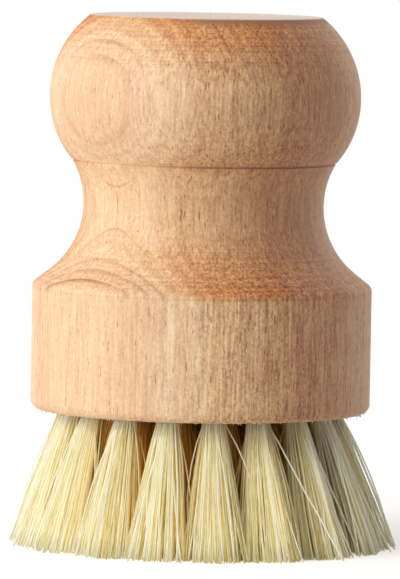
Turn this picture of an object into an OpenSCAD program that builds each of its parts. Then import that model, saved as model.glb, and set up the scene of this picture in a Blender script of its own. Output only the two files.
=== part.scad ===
// Palm brush: a turned wooden knob that fills the hand, with tufts of plant fibre set in rings
// of drilled holes. Each tuft is folded in half over the crown of a wire staple, whose two legs
// are driven into the wood past the bottom of the hole. The outer rings splay outwards.
// The brush stands on its trimmed tips: z = 0 is the plane of the tips, and z is the turning axis.

/* [Handle] */
// Diameter of the straight band at the foot of the handle
band_d = 55; // [52:0.5:62]
// Height of the band, from the drilled face to the ridge where the shoulder starts
band_h = 20.3; // [18:0.1:28]
// Rounding of the band's lower edge
foot_round = 1.4; // [0.5:0.1:2.5]
// Rounding of the ridge between the band and the shoulder
ridge_round = 1.2; // [0.4:0.1:2]
// Slope of the shoulder, measured from the turning axis
shoulder_slope = 52; // [44:1:58]
// Diameter at the narrowest part of the neck
neck_d = 38.9; // [35:0.1:42]
// Radius of the hollow turned into the neck
cove_r = 13.8; // [10:0.1:16]
// How far round the hollow goes above the narrowest part, up to the scored line
cove_rise = 30.5; // [24:0.5:40]
// Diameter of the knob at its widest
knob_d = 50.4; // [46:0.1:56]
// Radius of the knob's underside, from the scored line to its widest part
knob_under_r = 15.9; // [13:0.1:19]
// Radius of the knob's upper side
knob_over_r = 16.7; // [15:0.1:22]
// Height of the flat top above the widest part
crown_h = 13.2; // [10:0.1:14]
// Rounding of the edge of the flat top
crown_round = 0.6; // [0.3:0.1:2]
// Radius of the tool that scores the line under the knob
score_r = 0.2; // [0.1:0.05:0.4]

/* [Tufts] */
// Length of the bristles below the wood
bristle_h = 21.8; // [16:0.2:30]
// Rings of tufts round the one at the centre
rings = 3; // [2:1:3]
// Distance from the side of the band to the middle of the outermost holes
rim = 6.6; // [5.5:0.1:8]
// How far the outermost tufts lean outwards; the inner rings lean less, ring by ring
splay = 16; // [0:0.5:18]
// Turn of the whole pattern about the axis
pattern_turn = 16; // [0:1:59]
// Diameter of the hole drilled for a tuft
hole_d = 4; // [3.4:0.1:4.4]
// Depth of the hole along its own axis
hole_depth = 12; // [9:0.5:14]
// Gap between a tuft and the wall of its hole, on each side
tuft_gap = 0.05; // [0.02:0.01:0.1]
// Space left between neighbouring tufts where they are trimmed
tip_gap = 1; // [0.4:0.1:2]

/* [Staples] */
// Thickness of the staple wire
wire_d = 0.7; // [0.4:0.05:0.8]
// Radius of the wire's centre line where the crown turns down into a leg
wire_bend = 0.6; // [0.5:0.05:0.8]
// How far the legs are driven into the wood past the bottom of the hole
leg_bite = 3; // [1:0.5:5]
// Gap between a leg and the wall of the hole beside it
leg_gap = 0.08; // [0.05:0.01:0.2]
// Length of the chisel point on a leg
point_l = 0.8; // [0.3:0.1:1]
// Gap round the wire, in the fold of the tuft and in the wood
wire_gap = 0.03; // [0.01:0.01:0.06]

/* [Hidden] */
$fn = 96;
// Segments of the thin round shapes
wire_fn = 24;
// Cuts reach this far past what they cut
past = 1;
ring_names = ["centre", "inner", "middle", "outer"];
wood = [0.87, 0.70, 0.52];
fibre = [0.90, 0.82, 0.56];
steel = [0.66, 0.67, 0.69];

// Rings and places of the tufts: one at the centre, then six more in each ring than in the last
function ring_count(ring) = ring == 0 ? 1 : 6 * ring;
function tuft_name(ring, i) = ring == 0 ? "tuft_centre" : str("tuft_", ring_names[ring], "_", i + 1);
function staples_name(ring) = str("staples_", ring_names[ring]);
function tuft_turn(ring, i) = pattern_turn + 360 * i / ring_count(ring);

// Heights of the handle, worked upwards from the drilled face
band_r = band_d / 2;
neck_r = neck_d / 2;
knob_r = knob_d / 2;
face_z = bristle_h;
ridge_z = face_z + band_h;
// The shoulder is a straight cone, tangent to the hollow of the neck at cove_foot
cove_x = neck_r + cove_r;
cove_foot_x = cove_x - cove_r * cos(shoulder_slope);
shoulder_run = (band_r - cove_foot_x) / sin(shoulder_slope);
cove_foot_z = ridge_z + shoulder_run * cos(shoulder_slope);
neck_z = cove_foot_z + cove_r * sin(shoulder_slope);
// The scored line, where the hollow meets the underside of the knob
score_x = cove_x - cove_r * cos(cove_rise);
score_z = neck_z + cove_r * sin(cove_rise);
under_x = knob_r - knob_under_r;
belly_z = score_z + sqrt(knob_under_r ^ 2 - (score_x - under_x) ^ 2);
over_x = knob_r - knob_over_r;
top_z = belly_z + crown_h;
// The rounding of the top edge is a small circle inside the knob's upper side
crown_x = over_x + sqrt((knob_over_r - crown_round) ^ 2 - (crown_h - crown_round) ^ 2);
crown_foot_z = belly_z + (crown_h - crown_round) * knob_over_r / (knob_over_r - crown_round);
crown_foot_x = over_x + (crown_x - over_x) * knob_over_r / (knob_over_r - crown_round);
// The ridge is rounded by a circle that touches the band and the shoulder
ridge_cut = ridge_round * tan(shoulder_slope / 2);

// Each ring of holes is one step further out, and leans one step further
ring_step = (band_r - rim) / rings;
lean_step = splay / rings;

// Tuft and staple, in the frame of their hole: its mouth is at 0 and its bottom at hole_depth
tuft_r = hole_d / 2 - tuft_gap;
wire_r = wire_d / 2;
fold_depth = hole_depth - tuft_gap - tuft_r;
leg_span = hole_d - wire_d - 2 * leg_gap;
leg_depth = hole_depth + leg_bite;
// The crown is straight between its two bends, and the folded tuft is as wide as that
crown_l = leg_span - 2 * wire_bend;
// The bristles open out until the nearest rings are tip_gap apart at the tips
tip_r = (ring_step + bristle_h * tan(lean_step) - tip_gap) / 2;
tuft_spread = (tip_r - tuft_r) / bristle_h;
// Long enough for the most splayed tuft to be trimmed at the tips
tuft_reach = (bristle_h + band_r) / cos(splay);

// The part of a disc about [x, z] that lies between the heights z0 and z1, right of the axis
module disc_slice(x, z, r, z0, z1) {
    intersection() {
        translate([x, z]) circle(r = r);
        translate([0, z0]) square([x + r, z1 - z0]);
    }
}

// Half of the handle's outline: straight chords, with the hollow cut out of them and the bulges added
module half_outline() {
    difference() {
        polygon([
            [0, face_z],
            [band_r - foot_round, face_z],
            [band_r, face_z + foot_round],
            [band_r, ridge_z - ridge_cut],
            [band_r - ridge_cut * sin(shoulder_slope), ridge_z + ridge_cut * cos(shoulder_slope)],
            [cove_foot_x, cove_foot_z],
            [score_x, score_z],
            [knob_r, belly_z],
            [crown_foot_x, crown_foot_z],
            [crown_x, top_z],
            [0, top_z]
        ]);
        disc_slice(cove_x, neck_z, cove_r, cove_foot_z, score_z);
    }
    translate([band_r - foot_round, face_z + foot_round]) circle(r = foot_round);
    translate([band_r - ridge_round, ridge_z - ridge_cut]) circle(r = ridge_round);
    disc_slice(under_x, belly_z, knob_under_r, score_z, belly_z);
    disc_slice(over_x, belly_z, knob_over_r, belly_z, crown_foot_z);
    translate([crown_x, top_z - crown_round]) circle(r = crown_round);
}

// Puts its children at a hole's mouth, with z along the hole into the wood
module at_hole(ring, i) {
    rotate([0, 0, tuft_turn(ring, i)])
        translate([ring * ring_step, 0, face_z])
            rotate([0, -ring * lean_step, 0]) children();
}

// What the drill and the staple's legs take out of the wood at one tuft
module tuft_hole() {
    translate([0, 0, -past]) cylinder(h = hole_depth + past, d = hole_d);
    for (side = [-1, 1])
        translate([0, side * leg_span / 2, hole_depth - past])
            cylinder(h = leg_bite + past + wire_gap, r = wire_r + wire_gap, $fn = wire_fn);
}

// The turned handle, with a scored line under the knob and a drilled hole for each tuft
module handle() {
    color(wood) difference() {
        rotate_extrude() difference() {
            half_outline();
            translate([score_x, score_z]) circle(r = score_r);
        }
        for (ring = [0:rings]) for (i = [0:ring_count(ring) - 1])
            at_hole(ring, i) tuft_hole();
    }
}

// The part of a tuft inside its hole, folded round the staple's crown and narrowed between the legs
module tuft_root(mouth_l) {
    difference() {
        union() {
            translate([0, 0, -mouth_l]) cylinder(h = mouth_l + fold_depth - wire_d, r = tuft_r);
            intersection() {
                cylinder(h = hole_depth, r = tuft_r);
                union() {
                    translate([-tuft_r, -crown_l / 2, 0]) cube([2 * tuft_r, crown_l, fold_depth]);
                    translate([0, crown_l / 2, fold_depth]) rotate([90, 0, 0])
                        cylinder(h = crown_l, r = tuft_r);
                }
            }
        }
        translate([0, hole_d, fold_depth]) rotate([90, 0, 0])
            cylinder(h = 2 * hole_d, r = wire_r + wire_gap, $fn = wire_fn);
    }
}

// One tuft: its folded root, and the bristles that open out below the wood to the trimmed tips
module tuft(ring, i) {
    // A leaning tuft opens out only once the whole of it is below the wood
    mouth_l = hole_d / 2 * tan(ring * lean_step);
    color(fibre) intersection() {
        at_hole(ring, i) union() {
            tuft_root(mouth_l);
            translate([0, 0, -mouth_l]) rotate([180, 0, 0])
                cylinder(h = tuft_reach, r1 = tuft_r, r2 = tuft_r + tuft_reach * tuft_spread);
        }
        translate([-band_d, -band_d, 0]) cube([2 * band_d, 2 * band_d, top_z]);
    }
}

// Half of a staple: half of the crown, the bend and one pointed leg
module staple_half() {
    leg_l = leg_depth - fold_depth - wire_bend - point_l;
    rotate([-90, 0, 0]) cylinder(h = crown_l / 2, r = wire_r, $fn = wire_fn);
    translate([0, crown_l / 2, wire_bend]) rotate([90, 0, 90]) rotate([0, 0, -90])
        rotate_extrude(angle = 90, $fn = wire_fn) translate([wire_bend, 0]) circle(r = wire_r);
    translate([0, leg_span / 2, wire_bend]) {
        cylinder(h = leg_l, r = wire_r, $fn = wire_fn);
        translate([0, 0, leg_l])
            cylinder(h = point_l, r1 = wire_r, r2 = wire_r / 4, $fn = wire_fn);
    }
}

// The staples of one ring, a separate solid in each hole
module staples(ring) {
    color(steel) for (i = [0:ring_count(ring) - 1])
        at_hole(ring, i) translate([0, 0, fold_depth]) {
            staple_half();
            mirror([0, 1, 0]) staple_half();
        }
}

handle();
for (ring = [0:rings]) {
    for (i = [0:ring_count(ring) - 1])
        tuft(ring, i);
    staples(ring);
}
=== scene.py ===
# %% [markdown]
# A palm brush is a turned knob of plain wood with stiff plant fibre set in its foot. The packed
# model holds the real sizes: the handle with its drilled holes, the tufts and their staples. This
# file dresses it. It is read from the top, one cell at a time, and each cell prints what it made.
# The frame comes first, because every piece is placed against it.

# %% Load the imported model as the fixed frame
import math

import bpy
import numpy as np
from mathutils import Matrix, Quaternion, Vector


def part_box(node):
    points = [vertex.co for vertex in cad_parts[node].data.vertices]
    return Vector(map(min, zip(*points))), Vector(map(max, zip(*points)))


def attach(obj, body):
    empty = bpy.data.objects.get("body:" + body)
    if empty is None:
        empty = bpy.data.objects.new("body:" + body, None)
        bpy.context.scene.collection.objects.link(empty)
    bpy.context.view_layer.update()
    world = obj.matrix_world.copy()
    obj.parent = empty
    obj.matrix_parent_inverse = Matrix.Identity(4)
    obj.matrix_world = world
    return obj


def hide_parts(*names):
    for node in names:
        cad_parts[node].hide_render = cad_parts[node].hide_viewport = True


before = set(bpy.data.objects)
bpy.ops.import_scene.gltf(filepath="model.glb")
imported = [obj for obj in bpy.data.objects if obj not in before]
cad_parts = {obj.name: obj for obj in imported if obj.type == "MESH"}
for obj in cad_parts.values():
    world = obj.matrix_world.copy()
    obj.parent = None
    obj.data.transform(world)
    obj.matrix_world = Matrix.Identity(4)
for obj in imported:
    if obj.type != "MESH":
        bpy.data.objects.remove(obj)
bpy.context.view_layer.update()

MM = 0.001
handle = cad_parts["handle"]
handle_low, handle_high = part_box("handle")

# %% [markdown]
# A product photograph of so small a thing is taken from a metre or so away with a long lens, which
# keeps the sides of the turned band upright and its rims almost flat. The camera stands a little
# above the brush and looks slightly down, so the top shows as a thin sliver. The brush leans to the
# right in the picture by one degree, so the camera is rolled by as much, and the brush stays upright.

# %% Place the camera
camera_place = Vector((-0.34, -1100.0, 116.3)) * MM
camera_aim = Vector((-0.34, 0.0, 41.3)) * MM
camera_roll = math.radians(1.008)
bpy.ops.object.camera_add(location=camera_place)
camera = bpy.context.object
camera.name = "camera"
look = (camera_aim - camera_place).to_track_quat("-Z", "Y")
camera.rotation_euler = (look @ Quaternion((0, 0, 1), camera_roll)).to_euler()
camera.data.sensor_width = 36
camera.data.lens = 423
bpy.context.scene.camera = camera
print("camera distance, m:", round((camera_aim - camera_place).length, 3))

# %% [markdown]
# Shader nodes are added and wired in the same way all through the file, so one small class does it.
# A value that is itself a socket is linked, and a plain value is set on the input.

# %% Define a helper that adds and wires nodes
class Wiring:
    """Adds nodes to one node tree and feeds their inputs."""

    def __init__(self, tree):
        self.tree = tree

    def feed(self, socket, value):
        if isinstance(value, bpy.types.NodeSocket):
            self.tree.links.new(value, socket)
        else:
            socket.default_value = value

    def add(self, kind, inputs=None, **settings):
        node = self.tree.nodes.new("ShaderNode" + kind)
        for name, value in settings.items():
            setattr(node, name, value)
        for key, value in (inputs or {}).items():
            self.feed(node.inputs[key], value)
        return node

    def maths(self, operation, *values, clamp=False):
        node = self.add("Math", dict(enumerate(values)), operation=operation, use_clamp=clamp)
        return node.outputs[0]

    def vector(self, operation, *values, output="Vector"):
        return self.add("VectorMath", dict(enumerate(values)), operation=operation).outputs[output]

    def scaled(self, vector, factor):
        return self.add("VectorMath", {0: vector, "Scale": factor}, operation="SCALE").outputs[0]

    def blend(self, share, first, second, mode="MIX"):
        inputs = {0: share, 6: first, 7: second}
        return self.add("Mix", inputs, data_type="RGBA", blend_type=mode).outputs[2]

    def range(self, value, low, high, new_low=0.0, new_high=1.0, smooth=False):
        inputs = {"Value": value, 1: low, 2: high, 3: new_low, 4: new_high}
        kind = "SMOOTHSTEP" if smooth else "LINEAR"
        return self.add("MapRange", inputs, interpolation_type=kind).outputs[0]

    def ramp(self, value, stops):
        """A colour that changes with a value. The stops are (value, colour or grey)."""
        low, high = stops[0][0], stops[-1][0]
        node = self.add("ValToRGB", {0: self.range(value, low, high)})
        marks = node.color_ramp.elements
        while len(marks) < len(stops):
            marks.new(0.5)
        for mark, (at, colour) in zip(marks, stops):
            mark.position = (at - low) / (high - low)
        for mark, (at, colour) in zip(marks, stops):
            mark.color = (*colour, 1) if isinstance(colour, tuple) else (colour,) * 3 + (1,)
        return node.outputs[0]

    def place(self):
        """Object coordinates in millimetres."""
        return self.scaled(self.add("TexCoord").outputs["Object"], 1 / MM)

    def seen(self):
        """1 for rays that show a thing to the camera, also in a reflection, and 0 for light."""
        rays = self.add("LightPath").outputs
        share = self.maths("MAXIMUM", rays["Is Camera Ray"], rays["Is Glossy Ray"])
        return self.maths("MAXIMUM", share, rays["Is Transmission Ray"])


def new_material(name):
    """An empty material with its output, ready for a shader."""
    material = bpy.data.materials.new(name)
    material.use_nodes = True
    material.node_tree.nodes.clear()
    wiring = Wiring(material.node_tree)
    output = wiring.add("OutputMaterial")
    return material, wiring, output


print("helpers ready")

# %% [markdown]
# The light is that of a small white studio: one large soft lamp at the left, near enough to the
# camera to reach the middle of the front, and pale surroundings that fill the rest. The right side
# of the brush falls into a soft shade. Three weaker lamps finish the edges: one far round to the
# left for the last of that side, one behind to the right for the lighter rim, one for the flat top.

# %% Light the brush
def soft_lamp(name, azimuth, elevation, distance, size, power):
    """A square lamp that faces the brush. Azimuth 0 is in front and negative is to the left."""
    side, up = math.radians(azimuth), math.radians(elevation)
    away = Vector((math.sin(side) * math.cos(up), -math.cos(side) * math.cos(up), math.sin(up)))
    target = Vector((0, 0, 45 * MM))
    bpy.ops.object.light_add(type="AREA", location=target + away * distance)
    lamp = bpy.context.object
    lamp.name = name
    lamp.rotation_euler = away.to_track_quat("Z", "Y").to_euler()
    lamp.data.size = size
    lamp.data.energy = power
    return lamp


soft_lamp("key_lamp", azimuth=-57, elevation=20, distance=1.3, size=0.9, power=12.6)
soft_lamp("side_lamp", azimuth=-112, elevation=15, distance=1.3, size=0.9, power=2.5)
soft_lamp("rim_lamp", azimuth=138, elevation=20, distance=1.3, size=0.8, power=2.2)
soft_lamp("top_lamp", azimuth=-20, elevation=82, distance=1.2, size=0.9, power=2.2)

world = bpy.data.worlds.new("studio")
bpy.context.scene.world = world
world.use_nodes = True
world.node_tree.nodes.clear()
room = Wiring(world.node_tree)
room_fill = 0.24
fill_tint = (1.0, 0.94, 0.87, 1)
fill = room.add("Background", {"Color": fill_tint, "Strength": room_fill}).outputs[0]
backdrop = room.add("Background", {"Color": (1, 1, 1, 1), "Strength": 1.0}).outputs[0]
mixed = room.add("MixShader", {0: room.seen(), 1: fill, 2: backdrop}).outputs[0]
room.add("OutputWorld", {"Surface": mixed})
bpy.context.scene.view_settings.view_transform = "Standard"

# %% [markdown]
# The brush stands on a white sheet that runs on behind it. What the camera sees of the sheet glows
# just enough to reach white in full light, so it melts into the backdrop and still takes the
# shadow under the bristles. All other rays meet a plain pale sheet, which throws light upwards.

# %% Lay the floor
floor_radius = 6.0
bpy.ops.mesh.primitive_circle_add(vertices=96, radius=floor_radius, fill_type="NGON")
floor = bpy.context.object
floor.name = "floor"

floor_paint, paint, output = new_material("floor_paint")
plain = paint.add("BsdfDiffuse", {"Color": (0.8, 0.8, 0.8, 1)}).outputs[0]
lit = paint.add("BsdfDiffuse", {"Color": (0.9, 0.9, 0.9, 1)}).outputs[0]
glow = paint.add("Emission", {"Color": (1, 1, 1, 1), "Strength": 0.45}).outputs[0]
near = paint.add("AddShader", {0: lit, 1: glow}).outputs[0]
white = paint.add("Emission", {"Color": (1, 1, 1, 1), "Strength": 1.0}).outputs[0]
place = paint.add("TexCoord").outputs["Object"]
from_middle = paint.vector("LENGTH", place, output="Value")
far_share = paint.range(from_middle, 0.05, 0.16, smooth=True)
sheet = paint.add("MixShader", {0: far_share, 1: near, 2: white}).outputs[0]
paint.feed(output.inputs[0], paint.add("MixShader", {0: paint.seen(), 1: plain, 2: sheet}).outputs[0])
floor.data.materials.append(floor_paint)
print("floor radius, m:", floor_radius)

# %% [markdown]
# Long thin marks that run along the grain turn up in every finish here: the fibres of the wood and
# of its splinters, the uneven colour of a bristle, and the lines that a die leaves on drawn wire.
# All run upwards, so one group makes them: a noise that changes fast across the z axis and slowly
# along it.

# %% Build the streaks group
def streaks_group():
    """Vector in millimetres, marks per millimetre across and along; puts out 0 to 1."""
    group = bpy.data.node_groups.new("streaks", "ShaderNodeTree")
    for name, kind in (("Vector", "NodeSocketVector"), ("Across", "NodeSocketFloat"),
                       ("Along", "NodeSocketFloat"), ("Detail", "NodeSocketFloat")):
        group.interface.new_socket(name, in_out="INPUT", socket_type=kind)
    group.interface.new_socket("Value", in_out="OUTPUT", socket_type="NodeSocketFloat")
    inner = Wiring(group)
    given = group.nodes.new("NodeGroupInput").outputs
    stretch = inner.add("CombineXYZ", {0: given["Across"], 1: given["Across"], 2: given["Along"]})
    drawn = inner.vector("MULTIPLY", given["Vector"], stretch.outputs[0])
    noise = inner.add("TexNoise", {"Vector": drawn, "Scale": 1.0, "Detail": given["Detail"]})
    result = group.nodes.new("NodeGroupOutput")
    group.links.new(noise.outputs[0], result.inputs["Value"])
    return group


streaks = streaks_group()


def add_streaks(wiring, vector, across, along, detail=2.0):
    """Places the streaks group in a material with its own values."""
    node = wiring.tree.nodes.new("ShaderNodeGroup")
    node.node_tree = streaks
    for name, value in (("Vector", vector), ("Across", across), ("Along", along),
                        ("Detail", detail)):
        wiring.feed(node.inputs[name], value)
    return node.outputs["Value"]


print("group inputs:", [s.name for s in streaks.interface.items_tree])

# %% [markdown]
# The handle is turned from one straight-grained block. Its growth layers are wide rings round a
# pith that lay far off to the front left, so they pass through the handle as slightly curved
# upright sheets. A picture wrapped round the knob would be wrong at every slope. The colour is
# worked out in the solid instead, from the distance to the pith, and the turned surface then cuts
# it open as a lathe does: ovals where the knob is tangent to a layer, arcs on the shoulder, lines
# on the band.

# %% Find the growth layers in the wood
pith_azimuth = math.radians(-45)
pith_away = 146.0
to_pith = Vector((math.sin(pith_azimuth), -math.cos(pith_azimuth), 0))


def depth_at(wiring, place):
    """Millimetres from the turning axis towards the pith, measured across the layers."""
    flat = wiring.vector("MULTIPLY", place, (1, 1, 0))
    from_pith = wiring.vector("DISTANCE", flat, tuple(to_pith * pith_away), output="Value")
    return wiring.maths("SUBTRACT", pith_away, from_pith)


def growth_depth(wiring, place):
    """The same depth, with the slow sway that the layers of a real tree have."""
    slow = wiring.vector("MULTIPLY", place, (0.05, 0.05, 0.02))
    sway = wiring.add("TexNoise", {"Vector": slow, "Scale": 1.0, "Detail": 1.0})
    sway = wiring.vector("SUBTRACT", sway.outputs["Color"], (0.5, 0.5, 0.5))
    return depth_at(wiring, wiring.vector("ADD", place, wiring.scaled(sway, 2.0)))


print("towards the pith:", [round(v, 3) for v in to_pith])

# %% [markdown]
# A few layers show as a thin line. Where the surface slopes it cuts the fibres across, and the open
# ends drink in light: there the wood looks orange brown, and the lines stand out. On a turned piece
# the slope depends on the height alone, so a ramp on z finds it.

# %% Find the lines of the layers and the cut ends of the fibres
def layer_line(wiring, depth, at, width):
    """1 on the growth layer at this depth. It ends sharply outwards and fades towards the pith."""
    past = wiring.maths("SUBTRACT", depth, at)
    starts = wiring.range(past, -0.3 * width, 0.0, smooth=True)
    fades = wiring.range(past, 0.0, 1.7 * width, 1.0, 0.0, smooth=True)
    return wiring.maths("MULTIPLY", starts, fades)


def tinted(wiring, tone):
    """A tone round 1 as a factor on the colour of wood: what is darker is also redder."""
    red = wiring.maths("POWER", tone, 0.72)
    green = wiring.maths("POWER", tone, 1.1)
    blue = wiring.maths("POWER", tone, 1.2)
    return wiring.add("CombineColor", {0: red, 1: green, 2: blue}).outputs[0]


def cut_ends(wiring, height):
    """How much the surface at this height cuts across the fibres, from 0 to 1."""
    return wiring.ramp(height, [
        (21.7, 1.0), (21.9, 0.3), (23.3, 0.0), (41.0, 0.0), (41.9, 0.8), (42.6, 1.0),
        (44.2, 0.75), (47.0, 0.55), (51.5, 0.1), (58, 0.0), (62, 0.3), (66, 0.15), (70, 0.0),
        (76, 0.05), (79, 0.4), (82, 0.8), (85.6, 1.0)])


# Depth of each marked layer, its width, its darkness on end grain, and its share on long grain
layer_lines = [(3.4, 0.35, 0.5, 0.5), (12.0, 0.35, 0.7, 0.55), (16.2, 0.4, 0.3, 0.2),
               (22.2, 0.4, 0.45, 0.05), (23.6, 0.5, 0.55, 0.4), (25.3, 0.55, 0.9, 0.0)]
line_brown = (0.50, 0.22, 0.09, 1)
print("marked layers in the wood:", len(layer_lines))

# %% [markdown]
# The bottom of the hollow almost touches one more layer, which so shows as a V above the narrowest
# part of the neck and as an arch below it. Between them the wood has dried out in one fine check.
# These marks are too thin for a swaying layer, so they are found from the plain depth.

# %% Mark the bottom of the neck
neck_layer = 19.84
neck_z = 55.1
check_length = 6.4


def neck_mark(wiring, place, height):
    """The V, the arch, and the fine drying check between them, at the side towards the pith."""
    depth = depth_at(wiring, place)
    on_neck = wiring.ramp(height, [(47.5, 0.0), (49.5, 0.35), (58.5, 0.4), (60.5, 0.0)])
    arch = wiring.maths("MULTIPLY", layer_line(wiring, depth, neck_layer, 0.12), on_neck)
    aside = wiring.vector("DOT_PRODUCT", place, (to_pith.y, -to_pith.x, 0), output="Value")
    check = wiring.range(wiring.maths("ABSOLUTE", aside), 0.03, 0.14, 1.0, 0.0)
    off_middle = wiring.maths("ABSOLUTE", wiring.maths("SUBTRACT", height, neck_z))
    half_check = check_length / 2
    inside_check = wiring.range(off_middle, half_check - 0.4, half_check, 0.6, 0.0)
    check = wiring.maths("MULTIPLY", check, inside_check)
    facing = wiring.range(depth, 15.0, 16.0)
    return wiring.maths("MULTIPLY", wiring.maths("MAXIMUM", arch, check), facing)


print("layer at the neck, mm from the axis:", neck_layer)

# %% [markdown]
# Across the layers the wood goes from pale cream in front to a browner, pinker tone. Each year is a
# little lighter or darker than the next, and the browner layers are darker still, most of all on the
# knob and just above the band. The cut ends of the fibres come last, as an orange over all of it.

# %% Colour the wood by layer and by slope
darker_tone = (0.87, 0.84, 0.83, 1)
end_orange = (0.89, 0.61, 0.39, 1)


def layered_colour(wiring, place, height, depth, ends):
    """The colour of the cut wood before pores and streaks."""
    colour = wiring.ramp(depth, [
        (-28, (0.74, 0.46, 0.275)), (-10.5, (0.715, 0.42, 0.245)), (-6.5, (0.665, 0.36, 0.2)),
        (-2, (0.68, 0.36, 0.2)), (3.2, (0.67, 0.345, 0.19)), (4.2, (0.72, 0.405, 0.215)),
        (7, (0.755, 0.435, 0.23)), (12, (0.83, 0.515, 0.28)), (14, (0.85, 0.53, 0.29)),
        (15.9, (0.84, 0.515, 0.275)), (18.5, (0.92, 0.62, 0.37)), (20.2, (0.91, 0.605, 0.355)),
        (21.3, (0.94, 0.65, 0.40)), (22.6, (0.905, 0.595, 0.365)), (23.4, (0.88, 0.565, 0.345)),
        (25.2, (0.90, 0.565, 0.335)), (27.5, (0.92, 0.615, 0.375))])
    years = wiring.add("TexNoise", {"W": depth, "Scale": 0.8, "Detail": 3.0, "Roughness": 0.6},
                       noise_dimensions="1D").outputs[0]
    contrast = wiring.range(ends, 0.0, 1.0, 0.05, 0.18)
    contrast = wiring.maths("MULTIPLY", contrast, wiring.range(depth, 20, 24, 1.0, 0.4))
    shade = wiring.maths("MULTIPLY", wiring.range(years, 0.3, 0.7, -1.0, 0.6), contrast)
    shade = wiring.maths("ADD", shade, 1.0)
    colour = wiring.blend(1.0, colour, tinted(wiring, shade), mode="MULTIPLY")
    patchy = wiring.add("TexNoise", {"Vector": place, "Scale": 0.12, "Detail": 2.0}).outputs[0]
    patchy = wiring.range(patchy, 0.38, 0.58, 0.25, 1.0)
    for at, width, strength, on_side in layer_lines:
        shows = wiring.range(ends, 0.0, 0.8, on_side * strength, strength)
        shows = wiring.maths("MULTIPLY", shows, patchy)
        mark = wiring.maths("MULTIPLY", layer_line(wiring, depth, at, width), shows)
        colour = wiring.blend(mark, colour, line_brown)
    colour = wiring.blend(neck_mark(wiring, place, height), colour, line_brown)
    # Darker still on the browner side, most of all on the knob and just above the band
    darkened_share = wiring.ramp(height, [
        (41, 0.1), (43, 1.0), (46, 0.6), (52, 0.6), (60, 0.7), (66, 1.0), (78, 1.0), (84, 0.5)])
    darkened_share = wiring.maths("MULTIPLY", darkened_share, wiring.ramp(depth, [
        (-14, 0.0), (-6, 0.8), (2, 1.0), (10, 0.95), (16, 0.6), (21, 0.0)]))
    darkened = wiring.blend(1.0, colour, darker_tone, mode="MULTIPLY")
    colour = wiring.blend(darkened_share, colour, darkened)
    reach = wiring.ramp(depth, [
        (-10, 0.3), (2.8, 0.5), (4, 1.0), (14, 1.0), (18, 0.9), (20, 0.5), (22, 0.2), (25, 0.0)])
    orange = wiring.blend(1.0, colour, end_orange, mode="MULTIPLY")
    return wiring.blend(wiring.maths("MULTIPLY", ends, reach), colour, orange)


print("orange of the cut ends:", end_orange[:3])

# %% [markdown]
# Close up, the wood is full of cut vessels: dark dashes a few tenths of a millimetre wide that run
# with the grain, dense in the browner layers, and small pale flecks where a fibre was torn out.
# Each is a stretched cell of a Voronoi pattern, so on the sloping end grain the same cells are cut
# across and show as dots, as in real wood.

# %% Add the pores
# Width and length of a cell in millimetres, and the least and the most of it that a pore takes.
# The least is below nothing, which leaves some cells bare.
long_pore = (0.40, 6.0, -0.2, 0.35)
short_pore = (0.36, 2.4, -0.15, 0.33)
torn_fleck = (0.34, 1.0, -0.2, 0.32)
pore_brown = (0.27, 0.115, 0.045, 1)
fleck_cream = (0.98, 0.82, 0.64, 1)


def pores(wiring, place, across, along, least, most, dense):
    """0 on bare wood and 1 inside a pore."""
    cell = wiring.vector("MULTIPLY", place, (1 / across, 1 / across, 1 / along))
    found = wiring.add("TexVoronoi", {"Vector": cell, "Scale": 1.0, "Randomness": 1.0})
    chance = wiring.add("SeparateColor", {0: found.outputs["Color"]}).outputs[0]
    size = wiring.range(chance, 0.3, 1.0, least, most)
    size = wiring.maths("MULTIPLY", size, dense)
    edge = wiring.maths("SUBTRACT", size, found.outputs["Distance"])
    return wiring.range(edge, 0.0, 0.08, smooth=True)


def add_pores(wood, place, depth, colour):
    """The colour with pores and flecks in it, and the pores by themselves."""
    dense = wood.ramp(depth, [(2, 1.0), (13, 0.97), (19, 0.8), (24.5, 0.72), (28, 0.75)])
    wander = wood.add("TexNoise", {"Vector": place, "Scale": 0.7, "Detail": 1.0}).outputs["Color"]
    place = wood.vector("ADD", place, wood.vector("MULTIPLY", wander, (0.6, 0.6, 0.0)))
    long_pores = pores(wood, place, *long_pore, dense)
    short_pores = pores(wood, wood.vector("ADD", place, (40, 7, 3)), *short_pore, dense)
    pore = wood.maths("MAXIMUM", long_pores, short_pores)
    darkness = wood.maths("MULTIPLY", pore, wood.range(dense, 0.7, 1.0, 0.6, 0.75))
    colour = wood.blend(darkness, colour, pore_brown)
    flecks = pores(wood, wood.vector("ADD", place, (3, 50, 9)), *torn_fleck, dense)
    torn = wood.ramp(depth, [
        (8, 0.45), (14, 0.35), (19.8, 0.3), (20.8, 0.75), (22.6, 0.75), (23.4, 0.1)])
    colour = wood.blend(wood.maths("MULTIPLY", flecks, torn), colour, fleck_cream)
    return colour, pore


print("pore cells, mm wide and long:", long_pore[:2], short_pore[:2], torn_fleck[:2])

# %% [markdown]
# Between the pores run pale and dark fibres, some fine and long, some broad. The sander leaves a
# fine speckle, and the turning tool leaves rings on the sloping faces. All of it is strongest in
# the browner wood and on the band and its shoulder, and weakest in the pale wood and on the neck.

# %% Add the fibres of the wood
fibre_contrast = 4.0


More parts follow.
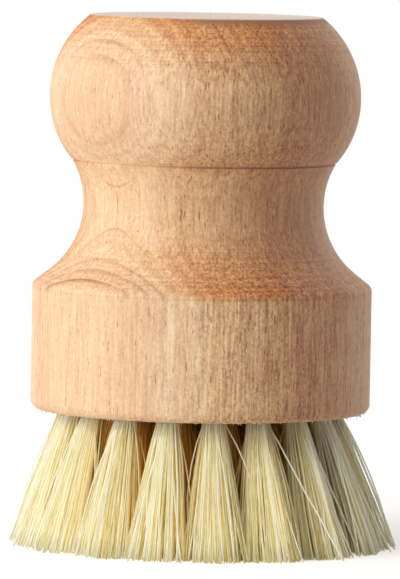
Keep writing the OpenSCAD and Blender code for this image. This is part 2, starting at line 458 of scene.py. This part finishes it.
def fibre_tone(wood, place, height, depth, ends):
    """Light and dark fibres of all lengths as a factor round 1, and two of them apart."""
    fine = add_streaks(wood, place, 2.6, 0.22, 3.0)
    broad = add_streaks(wood, place, 1.1, 0.05, 2.0)
    mottle = add_streaks(wood, wood.vector("ADD", place, (9, 5, 2)), 2.6, 1.5, 2.0)
    speckle = add_streaks(wood, wood.vector("ADD", place, (1, 8, 6)), 5.0, 4.0, 1.0)
    turned = wood.add("TexNoise", {"W": height, "Scale": 2.4, "Detail": 2.0},
                      noise_dimensions="1D").outputs[0]
    tone = wood.maths("ADD", wood.range(fine, 0.3, 0.7, -0.17, 0.19),
                      wood.range(broad, 0.35, 0.65, -0.09, 0.07))
    grain = wood.range(ends, 0.0, 1.0, 0.12, 0.2)
    grain = wood.maths("MULTIPLY", wood.range(mottle, 0.3, 0.7, -1, 1), grain)
    tone = wood.maths("ADD", tone, grain)
    tone = wood.maths("ADD", tone, wood.range(speckle, 0.3, 0.7, -0.09, 0.11))
    rings = wood.maths("MULTIPLY", wood.range(turned, 0.3, 0.7, -0.16, 0.16), ends)
    tone = wood.maths("ADD", tone, rings)
    coarse = wood.ramp(depth, [
        (-14, 0.45), (-5, 0.6), (2, 0.85), (10, 0.83), (15, 0.73), (20, 0.43), (25, 0.28)])
    coarse = wood.maths("MULTIPLY", coarse, wood.ramp(height, [
        (23, 0.62), (41, 0.62), (44, 0.68), (50, 0.38), (60, 0.38), (64, 0.5), (85, 0.55)]))
    coarse = wood.maths("MULTIPLY", coarse, fibre_contrast)
    return wood.maths("MULTIPLY_ADD", tone, coarse, 1.0), fine, mottle


print("contrast of the fibres:", fibre_contrast)

# %% [markdown]
# Four more marks finish the handle. The line scored under the knob is coloured dark brown, fading out
# towards the pale side. The drill left pale splinters on the foot's edge. A thin dark line just below
# the edge of the flat top, on its browner side, is painted shade. The top itself is painted paler as
# a painted sheen for the whitish glare it has at a low angle, and is smoother than the rest, though
# its rings and pores still show.

# %% Add the scored line, the rough foot, the painted shade under the edge and the painted sheen on top
score_z = 62.13
top_z = handle_high.z / MM
foot_z = handle_low.z / MM
score_brown = (0.30, 0.14, 0.06, 1)
splinter_cream = (0.98, 0.86, 0.70, 1)
painted_edge_shade = (0.34, 0.17, 0.09, 1)
painted_top_sheen = (1.0, 0.86, 0.71, 1)
painted_sheen_share = 0.45


def add_marks(wood, colour, height, depth, fine, mottle):
    """The colour with the marks, the painted shade and the painted sheen on it, and where the flat
    top is.
    """
    # The scored line is coloured dark brown in broken stretches, fading out towards the pale side
    off_score = wood.maths("ABSOLUTE", wood.maths("SUBTRACT", height, score_z))
    scored = wood.range(off_score, 0.1, 0.3, 1.0, 0.0, smooth=True)
    scored = wood.maths("MULTIPLY", scored, wood.range(fine, 0.35, 0.6, 0.2, 0.75))
    scored = wood.maths("MULTIPLY", scored, wood.range(depth, 14, 21, 1.0, 0.1))
    colour = wood.blend(scored, colour, score_brown)
    splinters = wood.range(height, foot_z + 0.1, foot_z + 0.5, 1.0, 0.0)
    splinters = wood.maths("MULTIPLY", splinters, wood.range(mottle, 0.5, 0.6))
    colour = wood.blend(splinters, colour, splinter_cream)
    # Painted shade: a thin dark line just below the edge of the flat top, on its browner side
    painted_shade_below_edge = wood.ramp(height, [
        (top_z - 1.0, 0.0), (top_z - 0.7, 0.7), (top_z - 0.3, 0.95), (top_z - 0.1, 0.0)])
    painted_shade_below_edge = wood.maths("MULTIPLY", painted_shade_below_edge, wood.range(depth, 13, 18, 1.0, 0.0))
    colour = wood.blend(painted_shade_below_edge, colour, painted_edge_shade)
    on_top = wood.range(height, top_z - 0.12, top_z - 0.04)
    # Painted sheen: the flat top is made paler for the whitish glare it has at a low angle
    colour = wood.blend(wood.maths("MULTIPLY", on_top, painted_sheen_share), colour, painted_top_sheen)
    return colour, on_top


print("flat top and foot at, mm:", round(top_z, 2), round(foot_z, 2))

# %% [markdown]
# Bare wood reflects little. The fine fibres and the pores also stand out as relief: a bump follows
# them, far too shallow for the mesh, which stays that of the turned solid.

# %% Dress the handle
relief_depth = 0.00008


def make_wood():
    """Plain unvarnished wood, for the handle."""
    material, wood, output = new_material("turned_wood")
    place = wood.place()
    height = wood.add("SeparateXYZ", {0: place}).outputs[2]
    depth = growth_depth(wood, place)
    ends = cut_ends(wood, height)
    colour = layered_colour(wood, place, height, depth, ends)
    tone, fine, mottle = fibre_tone(wood, place, height, depth, ends)
    colour = wood.blend(1.0, colour, tinted(wood, tone), mode="MULTIPLY")
    colour, pore = add_pores(wood, place, depth, colour)
    colour, on_top = add_marks(wood, colour, height, depth, fine, mottle)
    relief = wood.maths("ADD", wood.maths("MULTIPLY", fine, 0.5), wood.maths("MULTIPLY", mottle, 0.3))
    relief = wood.maths("SUBTRACT", relief, pore)
    bump = wood.add("Bump", {"Strength": 0.8, "Distance": relief_depth, "Height": relief}).outputs[0]
    rough = wood.maths("SUBTRACT", wood.range(fine, 0.2, 0.8, 0.66, 0.52),
                       wood.maths("MULTIPLY", on_top, 0.3))
    shader = wood.add("BsdfPrincipled", {
        "Base Color": colour, "Roughness": rough, "Specular IOR Level": 0.38, "Normal": bump})
    wood.feed(output.inputs[0], shader.outputs[0])
    return material


handle.data.materials.clear()
handle.data.materials.append(make_wood())
print("wood nodes:", len(handle.data.materials[0].node_tree.nodes))

# %% [markdown]
# The foot was drilled after it was turned, and the edge there is left a little rough: splinters of
# pale wood, a few tenths of a millimetre long, stand out of it. One is a four-sided spike that is
# cut across halfway and bent there. The rest are copies of it, each turned and stretched by itself.

# %% Raise splinters on the edge of the foot
splinter_count = 100
splinter_bend = 0.12 * MM
# The lowest splinters start this far inside the band's side and above the foot. Higher ones start
# further out, as on an edge of this rounding.
splinter_inset = 1.15 * MM
splinter_lift = 0.12 * MM
edge_rounding = 1.0 * MM


def one_splinter():
    """A bent spike, a millimetre long, that points along +z."""
    bpy.ops.object.select_all(action="DESELECT")
    bpy.ops.mesh.primitive_cone_add(vertices=4, radius1=0.14 * MM, radius2=0.02 * MM,
                                    depth=MM, location=(0, 0, MM / 2))
    spike = bpy.context.object
    bpy.ops.object.mode_set(mode="EDIT")
    bpy.ops.mesh.select_all(action="SELECT")
    bpy.ops.mesh.bisect(plane_co=(0, 0, MM / 2), plane_no=(0, 0, 1))
    bpy.ops.mesh.select_all(action="DESELECT")
    bpy.ops.object.mode_set(mode="OBJECT")
    for corner in spike.data.vertices:
        corner.select = corner.co.z > 0.4 * MM
    bpy.ops.object.mode_set(mode="EDIT")
    bpy.ops.transform.translate(value=(splinter_bend, 0, 0))
    bpy.ops.object.mode_set(mode="OBJECT")
    bpy.ops.object.transform_apply(location=True, rotation=True, scale=True)
    return spike


def raise_splinters(count):
    """Copies of one splinter along the rounded lower edge of the foot, joined into one piece."""
    chance = np.random.default_rng(3)
    edge_r = handle_high.x - splinter_inset
    edge_z = foot_z * MM + splinter_lift
    first = one_splinter()
    bpy.ops.object.select_all(action="DESELECT")
    for i in range(count):
        turn = chance.uniform(0, 2 * math.pi)
        copy = bpy.data.objects.new("splinter", first.data.copy())
        bpy.context.collection.objects.link(copy)
        rise = chance.uniform(0, 0.08) * MM
        out = edge_r + math.sqrt(rise * 2 * edge_rounding)
        copy.location = (out * math.cos(turn), out * math.sin(turn), edge_z + rise)
        copy.rotation_euler = (0, chance.uniform(2.1, 2.9), turn + chance.normal(0, 0.9))
        copy.scale = (1, 1, chance.uniform(0.2, 0.5))
        copy.select_set(True)
    bpy.data.objects.remove(first)
    bpy.context.view_layer.objects.active = copy
    bpy.ops.object.join()
    bpy.ops.object.transform_apply(location=True, rotation=True, scale=True)
    copy.name = "foot_splinters"
    return copy


def make_torn_wood():
    """Pale torn fibres, without the pores and the colour of the turned face."""
    material, torn, output = new_material("torn_wood")
    streak = add_streaks(torn, torn.place(), 3.0, 1.5, 2.0)
    colour = torn.ramp(streak, [(0.3, (0.80, 0.58, 0.38)), (0.6, (0.98, 0.86, 0.68))])
    bump = torn.add("Bump", {"Strength": 0.4, "Distance": 0.00003, "Height": streak}).outputs[0]
    shader = torn.add("BsdfPrincipled", {
        "Base Color": colour, "Roughness": torn.range(streak, 0.2, 0.8, 0.8, 0.65),
        "Specular IOR Level": 0.2, "Normal": bump})
    torn.feed(output.inputs[0], shader.outputs[0])
    return material


foot_splinters = raise_splinters(splinter_count)
foot_splinters.data.materials.clear()
foot_splinters.data.materials.append(make_torn_wood())
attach(foot_splinters, "root")
print("splinters:", len(foot_splinters.data.polygons), "faces")

# %% [markdown]
# The staples are bent from drawn steel wire. They sit deep in the holes and only show when the
# brush is taken apart, so the model's own meshes stay, and get a bright metal with fine lines.

# %% Dress the staples
def make_wire():
    """Drawn steel wire with faint lines along it."""
    material, wire, output = new_material("drawn_wire")
    lines = add_streaks(wire, wire.place(), 18.0, 0.4, 3.0)
    colour = wire.ramp(lines, [(0.2, (0.42, 0.42, 0.43)), (0.8, (0.66, 0.66, 0.67))])
    bump = wire.add("Bump", {"Strength": 0.25, "Distance": 0.00001, "Height": lines}).outputs[0]
    shader = wire.add("BsdfPrincipled", {
        "Base Color": colour, "Metallic": 1.0, "Normal": bump,
        "Roughness": wire.range(lines, 0.2, 0.8, 0.38, 0.24)})
    wire.feed(output.inputs[0], shader.outputs[0])
    return material


wire_steel = make_wire()
for name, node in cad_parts.items():
    if name.startswith("staples_"):
        node.data.materials.clear()
        node.data.materials.append(wire_steel)
print("staples dressed:", sum(n.startswith("staples_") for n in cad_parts))

# %% [markdown]
# A bristle is a strand of plant fibre about a quarter of a millimetre thick. One is modelled here
# by hand, as a five-sided rod ten rings long, since a tuft needs well over a hundred of them. It
# is drawn straight, one unit from ring to ring, and each copy is later laid along its own path.

# %% Model one bristle
fibre_sides = 5
fibre_rings = 10


def bristle_pattern():
    """The corners of one straight bristle, and its faces as lists of corner numbers."""
    bpy.ops.object.select_all(action="DESELECT")
    bpy.ops.mesh.primitive_circle_add(vertices=fibre_sides, radius=1, fill_type="NGON")
    rod = bpy.context.object
    bpy.ops.object.mode_set(mode="EDIT")
    bpy.ops.mesh.select_all(action="SELECT")
    for ring in range(fibre_rings - 1):
        bpy.ops.mesh.extrude_region_move(TRANSFORM_OT_translate={"value": (0, 0, 1)})
    bpy.ops.mesh.select_all(action="SELECT")
    bpy.ops.mesh.normals_make_consistent(inside=False)
    bpy.ops.object.mode_set(mode="OBJECT")
    corners = np.array([v.co for v in rod.data.vertices])
    faces = [list(face.vertices) for face in rod.data.polygons]
    bpy.data.objects.remove(rod)
    return corners, faces


rod_corners, rod_faces = bristle_pattern()
print("one bristle:", len(rod_corners), "corners,", len(rod_faces), "faces")

# %% [markdown]
# The holes stand in rings round the one in the middle, six more in each ring than in the last, and
# each ring leans further outwards. These are the sizes of the drilled solids, so that each bunch of
# strands comes out of its own hole.

# %% Work out the drilled pattern
rng = np.random.default_rng(7)
band_r = handle_high.x / MM
rim = 6.6
ring_count = 3
splay = 16.0
pattern_turn = 16.0
hole_r = 2.0
fold_depth = 10.0
crown_half = 0.97
wire_r = 0.35
ring_step = (band_r - rim) / ring_count
lean_step = splay / ring_count
ring_names = ["centre", "inner", "middle", "outer"]
# A tuft opens out until it meets its neighbours at the tips
tip_r = (ring_step + foot_z * math.tan(math.radians(lean_step))) / 2
opened_share = tip_r / hole_r


def tuft_places():
    """Name, ring and turn in degrees of each tuft."""
    places = [("tuft_centre", 0, pattern_turn)]
    for ring in range(1, ring_count + 1):
        for i in range(6 * ring):
            turn = pattern_turn + 60 * i / ring
            places.append((f"tuft_{ring_names[ring]}_{i + 1}", ring, turn))
    return places


print("tufts:", len(tuft_places()), "foot at", round(foot_z, 2), "mm, band radius", round(band_r, 2))

# %% [markdown]
# A tuft is folded in half over its staple, so every strand comes down on one side of the wire. Its
# path is ten points long: four in the hole, over the wire and down beside it, and six below the
# wood. There the strands open out, more round the brush than away from it. They gather into locks,
# each lock and each tuft leans a little its own way, and every strand bends and waves. Nearly one
# in ten is a stray, which crosses to the next tuft in a wide bow.

# %% Draw the path of each bristle in a tuft
fibre_r = 0.13
fibre_counts = [140, 140, 140, 230]
fibre_clear = 0.05
packed_r = hole_r - fibre_r - fibre_clear
opened_at = (0.15, 0.3, 0.48, 0.66, 0.84, 1.0)
# How far the tips fan out, outwards and sideways, and how soon they do it
fan = (1.0, 1.32)
fan_power = (0.9, 0.92)
lock_count = 8
lock_pull = 0.12
stray_share = 0.09
stray_bow = 3
# How far tips spread, in millimetres, and how much of it goes outwards and sideways
lock_spread = 0.3
tuft_spread, tuft_ways = 0.45, (0.2, 1.0)
tip_spread, tip_ways = 0.38, (0.8, 1.2)
stray_spread, stray_ways = 1.0, (0.8, 2.2)
# No tip lies further outside the bunch than this
most_outside = 0.6
# How far a strand bows, waves and is cut too short, and the angle that its wave runs through
bow_size = 0.2
wave_size = 0.05
wave_angle = 12
trim_error = 0.05


def scatter_in_disc(count, radius):
    """Evenly spread points in a disc, each a little out of place."""
    index = np.arange(count) + 0.5
    out = radius * np.sqrt(index / count)
    turn = index * math.pi * (3 - math.sqrt(5))
    points = np.stack([out * np.cos(turn), out * np.sin(turn)], axis=1)
    points += rng.normal(0, 0.04, (count, 2))
    far = np.linalg.norm(points, axis=1) / radius
    return points / np.maximum(1, far)[:, None]


def folded_root(root, mouth):
    """The first points of each path: over the wire, down beside it, and out of the wood."""
    side = np.sign(root[:, 0])
    closest = wire_r + fibre_r + fibre_clear
    layer = closest + np.abs(root[:, 0]) * (packed_r - closest) / packed_r
    between = root[:, 1] * crown_half / hole_r
    crest = np.stack([side * 0.02, between, fold_depth + layer], axis=1)
    beside = np.stack([side * layer, between, np.full(len(root), fold_depth)], axis=1)
    middle = np.column_stack([root, np.full(len(root), fold_depth / 2)])
    leaving = np.column_stack([root, np.full(len(root), mouth)])
    return [crest, beside, middle, leaving]


def tuft_paths(ring):
    """Points along each bristle, in the frame of its hole: z goes into the wood."""
    lean = math.radians(ring * lean_step)
    mouth = -hole_r * math.tan(lean)
    count = fibre_counts[ring]
    root = scatter_in_disc(count, packed_r)
    locks = scatter_in_disc(lock_count, packed_r)
    lock = np.argmin(((root[:, None] - locks[None]) ** 2).sum(2), axis=1)
    lock_shift = rng.normal(0, lock_spread, (lock_count, 2))
    tip = root * opened_share * fan
    tip += lock_pull * (locks[lock] * opened_share - tip) + lock_shift[lock]
    tip += rng.normal(0, tuft_spread, 2) * tuft_ways
    tip += rng.normal(0, tip_spread, tip.shape) * tip_ways
    stray = rng.random(count) < stray_share
    tip[stray] += rng.normal(0, stray_spread, (stray.sum(), 2)) * stray_ways
    tip[:, 0] = np.minimum(tip[:, 0], packed_r * opened_share + most_outside)
    bow = rng.normal(0, bow_size, (count, 2)) * np.where(stray, stray_bow, 1)[:, None]
    wave = rng.normal(0, wave_size, (count, 2))
    wave_start = rng.uniform(0, 2 * math.pi, count)
    trimmed = np.abs(rng.normal(0, trim_error, count))
    length = (foot_z - trimmed + tip[:, 0] * math.sin(lean)) / math.cos(lean) + mouth
    points = folded_root(root, mouth)
    for share in opened_at:
        opening = [share ** power for power in fan_power]
        across = root + (tip - root) * opening + bow * 4 * share * (1 - share)
        across += wave * share * np.sin(wave_start + share * wave_angle)[:, None]
        points.append(np.column_stack([across, mouth - length * share]))
    return np.stack(points, axis=1), lock, stray, trimmed


print("rings on a path:", fibre_rings, "=", 4 + len(opened_at))

# %% [markdown]
# A path becomes a bristle when the rod's rings are set on it, each square to the path. The last
# ring is slid along the bristle to its own trimmed height, so that every end is cut level. This is
# the one place where arrays do the copying, because thousands of strands, each bent its own way,
# can't be placed by hand.

# %% Sweep the bristles along their paths
# The tips of the whole brush are pushed this far to the right, as in the photograph
pushed = 0.45


def place_in_handle(points, ring, turn):
    """Moves points from the frame of a hole to that of the brush, still in millimetres."""
    lean, turn = math.radians(ring * lean_step), math.radians(turn)
    x, y, z = points[..., 0], points[..., 1], points[..., 2]
    out = ring * ring_step + x * math.cos(lean) - z * math.sin(lean)
    height = foot_z + x * math.sin(lean) + z * math.cos(lean)
    right = out * math.cos(turn) - y * math.sin(turn)
    back = out * math.sin(turn) + y * math.cos(turn)
    below = np.clip(1 - height / foot_z, 0, 1)
    return np.stack([right + pushed * below, back, height], axis=-1)


def sweep_bristles(paths, trimmed):
    """The corners of every bristle, as fibres by corners by 3."""
    along = np.gradient(paths, axis=1)
    along /= np.linalg.norm(along, axis=2, keepdims=True)
    first = np.cross(along, np.array([0.3, 1.0, 0.1]))
    first /= np.linalg.norm(first, axis=2, keepdims=True)
    second = np.cross(along, first)
    ring = np.rint(rod_corners[:, 2]).astype(int)
    thick = fibre_r * rng.uniform(0.7, 1.1, (len(paths), 1, 1))
    spin = rng.uniform(0, 2 * math.pi, (len(paths), 1))
    angle = np.arctan2(rod_corners[:, 1], rod_corners[:, 0])[None] + spin
    corners = paths[:, ring] + thick * (np.cos(angle)[..., None] * first[:, ring]
                                        + np.sin(angle)[..., None] * second[:, ring])
    end = ring == fibre_rings - 1
    slope = along[:, -1:, :]
    off = trimmed[:, None] - corners[:, end, 2]
    corners[:, end] += slope * (off / slope[:, :, 2])[..., None]
    return corners


print("push of the tips, mm:", pushed)

# %% [markdown]
# All bristles of a tuft are joined into one mesh, which takes the place of that tuft's solid. Two
# attributes go with it for the material: the tone of each bristle, and how far inside the whole
# bunch a point lies. The second is measured from the cone in which the outer ring leans.

# %% Make the tufts
def depth_inside(corners):
    """How far inside the leaning bunch a point lies: 0 on its outer side, 1 one tuft radius in."""
    lean = math.radians(splay)
    below = foot_z - corners[..., 2]
    spread = hole_r * (1 + (opened_share - 1) * np.clip(below / foot_z, 0, 1))
    outer = band_r - rim + below * math.tan(lean) + spread / math.cos(lean)
    return (outer - np.linalg.norm(corners[..., :2], axis=-1)) / spread


def make_tuft(name, ring, turn):
    """One tuft of folded bristles as a single mesh, with tone and inside attributes."""
    paths, lock, stray, trimmed = tuft_paths(ring)
    corners = sweep_bristles(place_in_handle(paths, ring, turn), trimmed)
    count, size = corners.shape[:2]
    faces = [[corner + i * size for corner in face] for i in range(count) for face in rod_faces]
    mesh = bpy.data.meshes.new(name)
    mesh.from_pydata((corners.reshape(-1, 3) * MM).tolist(), [], faces)
    tone = rng.uniform(0, 1, count) * 0.75 + rng.uniform(0, 0.25, lock_count)[lock]
    tone = np.where(stray, 1.0, tone)
    for attribute, values in (("tone", np.repeat(tone, size)),
                              ("inside", depth_inside(corners).ravel())):
        data = mesh.attributes.new(attribute, "FLOAT", "POINT").data
        data.foreach_set("value", values.astype(np.float32))
    tuft = bpy.data.objects.new("bristles_" + name.removeprefix("tuft_"), mesh)
    bpy.context.collection.objects.link(tuft)
    mesh.shade_smooth()
    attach(tuft, "root")
    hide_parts(name)
    return tuft


tufts = [make_tuft(*place) for place in tuft_places()]
print("tufts:", len(tufts), "faces in each:", len(tufts[0].data.polygons))

# %% [markdown]
# Dried plant fibre is cream to golden yellow, no two strands are alike, and each changes a little
# along its length. Deep between the strands light only comes after many bounces, and each takes out
# more blue, so a brush looks golden brown inside. A render stops after a few bounces, so a ramp over
# the inside attribute adds the rest as golden painted shade. The trimmed ends lie open to the light
# and get little of this painted shade.
#
# A strand also lets light through. Part of its shader is translucent, and it shades what lies behind
# it only weakly and with a golden tint, so that no tuft casts a hard grey shadow on the next.

# %% Colour the bristles
translucent_share = 0.3
shadow_gold = (0.98, 0.935, 0.79, 1)


def fibre_colour(fibre, place, uneven):
    """A strand's colour by its own tone, with painted shade by how far inside the brush it lies."""
    tone = fibre.add("Attribute", attribute_name="tone").outputs["Fac"]
    inside = fibre.add("Attribute", attribute_name="inside").outputs["Fac"]
    mixed_tone = fibre.maths("ADD", tone, fibre.range(uneven, 0.3, 0.7, -0.15, 0.15))
    colour = fibre.ramp(mixed_tone, [
        (0.0, (0.66, 0.55, 0.25)), (0.25, (0.83, 0.785, 0.515)), (0.6, (0.93, 0.925, 0.79)),
        (1.0, (0.97, 0.965, 0.92))])
    # Painted shade: golden brown deep inside the brush, mostly kept off the trimmed ends
    golden = fibre.ramp(inside, [
        (0.0, (1, 1, 1)), (0.8, (1, 0.97, 0.90)), (1.3, (0.96, 0.82, 0.50)),
        (2.5, (0.95, 0.65, 0.22)), (5.0, (0.93, 0.58, 0.16))])
    height = fibre.add("SeparateXYZ", {0: place}).outputs[2]
    off_ends = fibre.range(height, 0.5, 7.0, 0.12, 1.0)
    return fibre.blend(off_ends, colour, fibre.blend(1.0, colour, golden, mode="MULTIPLY"))


def make_fibre():
    """Stiff yellowish plant fibre, told apart by the tone and inside attributes."""
    material, fibre, output = new_material("plant_fibre")
    place = fibre.place()
    uneven = add_streaks(fibre, place, 2.0, 0.3, 2.0)
    colour = fibre_colour(fibre, place, uneven)
    shader = fibre.add("BsdfPrincipled", {
        "Base Color": colour, "Roughness": fibre.range(uneven, 0.3, 0.7, 0.5, 0.38),
        "Specular IOR Level": 0.05})
    through = fibre.add("BsdfTranslucent", {"Color": colour}).outputs[0]
    strand = fibre.add("MixShader", {0: translucent_share, 1: shader.outputs[0], 2: through})
    shadow = fibre.add("BsdfTransparent", {"Color": shadow_gold})
    to_lamp = fibre.add("LightPath").outputs["Is Shadow Ray"]
    seen = fibre.add("MixShader", {0: to_lamp, 1: strand.outputs[0], 2: shadow.outputs[0]})
    fibre.feed(output.inputs[0], seen.outputs[0])
    return material


plant_fibre = make_fibre()
for tuft in tufts:
    tuft.data.materials.append(plant_fibre)
print("fibre nodes:", len(plant_fibre.node_tree.nodes))
